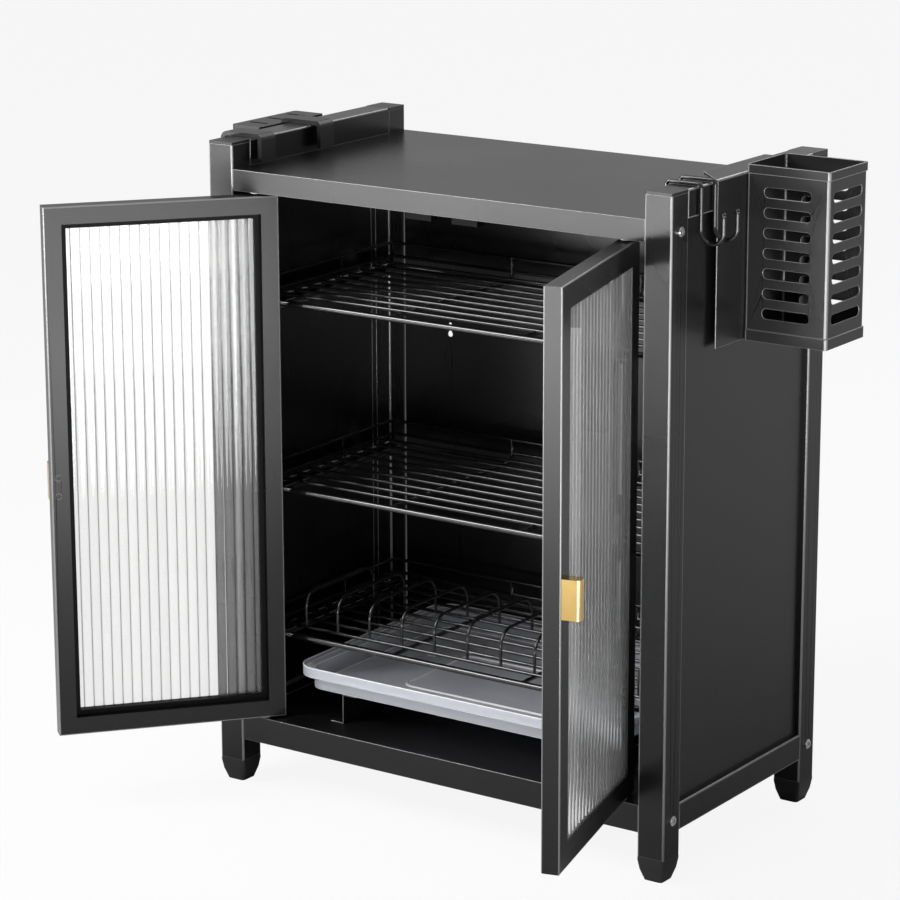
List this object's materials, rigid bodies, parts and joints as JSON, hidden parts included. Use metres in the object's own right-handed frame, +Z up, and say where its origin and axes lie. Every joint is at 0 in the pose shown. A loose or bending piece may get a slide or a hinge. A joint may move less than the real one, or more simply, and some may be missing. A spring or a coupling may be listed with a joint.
{
  "type": "covered dish drying rack",
  "caption": "Free-standing covered dish drying rack: black steel cabinet, reeded glass doors, wire racks, pull-out drip tray, hooks, basket and knife holder.",
  "frame": {"origin": "centre of the cabinet on the floor", "axes": "+X to the cabinet's right as seen from the front, -Y to the front, +Z up"},
  "size_m": [0.8151, 0.5571, 0.76],
  "materials": {
    "black_steel": "satin",
    "black_plastic": "matte",
    "nylon": "matte",
    "clear_plastic": "clear gloss",
    "reeded_glass": "reeded",
    "brass": "satin",
    "bead_rubber": "matte",
    "key_aluminium": "mill",
    "bright_steel": "plated"
  },
  "bodies": {
    "cabinet": {"back_panel": "black_steel", "back_panel_screws": "bright_steel", "bottom_panel": "black_steel", "bracket_screws": "bright_steel", "feet": "black_plastic", "frame_bolts": "bright_steel", "frame_nuts": "bright_steel", "front_left_post": "black_steel", "front_right_post": "black_steel", "hinge_bushes": "nylon", "left_bottom_rail": "black_steel", "left_rack_brackets": "black_steel", "left_side_panel": "black_steel", "left_top_rail": "black_steel", "magnet_catches": "black_plastic", "post_caps": "black_plastic", "rear_left_post": "black_steel", "rear_right_post": "black_steel", "right_bottom_rail": "black_steel", "right_rack_brackets": "black_steel", "right_side_panel": "black_steel", "right_top_rail": "black_steel", "runner_screws": "bright_steel", "top_panel": "black_steel", "tray_runners": "black_steel"},
    "left_door": {"left_door_bottom_rail": "black_steel", "left_door_corner_keys": "key_aluminium", "left_door_glass": "reeded_glass", "left_door_glazing_bead": "bead_rubber", "left_door_handle": "brass", "left_door_handle_screws": "black_steel", "left_door_hinge_pins": "black_steel", "left_door_hinge_stile": "black_steel", "left_door_meeting_stile": "black_steel", "left_door_top_rail": "black_steel"},
    "right_door": {"right_door_bottom_rail": "black_steel", "right_door_corner_keys": "key_aluminium", "right_door_glass": "reeded_glass", "right_door_glazing_bead": "bead_rubber", "right_door_handle": "brass", "right_door_handle_screws": "black_steel", "right_door_hinge_pins": "black_steel", "right_door_hinge_stile": "black_steel", "right_door_meeting_stile": "black_steel", "right_door_top_rail": "black_steel"},
    "drip_tray": {"drip_tray": "clear_plastic"},
    "top_rack": {"top_rack": "black_steel", "top_rack_guard": "black_steel"},
    "middle_rack": {"middle_rack": "black_steel", "middle_rack_guard": "black_steel"},
    "bowl_rack": {"bowl_rack": "black_steel", "bowl_rack_guard": "black_steel", "plate_dividers": "black_steel"},
    "utensil_basket": {"utensil_basket": "black_steel", "basket_hanger": "black_steel"},
    "front_hook": {"front_hook": "black_steel"},
    "rear_hook": {"rear_hook": "black_steel"},
    "knife_holder": {"knife_holder": "black_plastic"}
  },
  "joints": [
    {"name": "left_door_hinge", "type": "hinge", "parent": "cabinet", "child": "left_door", "pos_m": [-0.241, -0.157, 0.39], "axis": [0, 0, -1], "range_deg": [-130, 10]},
    {"name": "right_door_hinge", "type": "hinge", "parent": "cabinet", "child": "right_door", "pos_m": [0.241, -0.157, 0.39], "axis": [0, 0, 1], "range_deg": [-105, 35]},
    {"name": "drip_tray_slide", "type": "slide", "parent": "cabinet", "child": "drip_tray", "axis": [0, -1, 0], "range_m": [0, 0.29]},
    {"name": "top_rack_lift", "type": "slide", "parent": "cabinet", "child": "top_rack", "axis": [0, 0, 1], "range_m": [0, 0.02]},
    {"name": "middle_rack_lift", "type": "slide", "parent": "cabinet", "child": "middle_rack", "axis": [0, 0, 1], "range_m": [0, 0.02]},
    {"name": "bowl_rack_lift", "type": "slide", "parent": "cabinet", "child": "bowl_rack", "axis": [0, 0, 1], "range_m": [0, 0.02]},
    {"name": "utensil_basket_lift", "type": "slide", "parent": "cabinet", "child": "utensil_basket", "axis": [0, 0, 1], "range_m": [0, 0.03]},
    {"name": "front_hook_lift", "type": "slide", "parent": "cabinet", "child": "front_hook", "axis": [0, 0, 1], "range_m": [0, 0.03]},
    {"name": "rear_hook_lift", "type": "slide", "parent": "cabinet", "child": "rear_hook", "axis": [0, 0, 1], "range_m": [0, 0.03]},
    {"name": "knife_holder_lift", "type": "slide", "parent": "cabinet", "child": "knife_holder", "axis": [0, 0, 1], "range_m": [0, 0.035]}
  ]
}
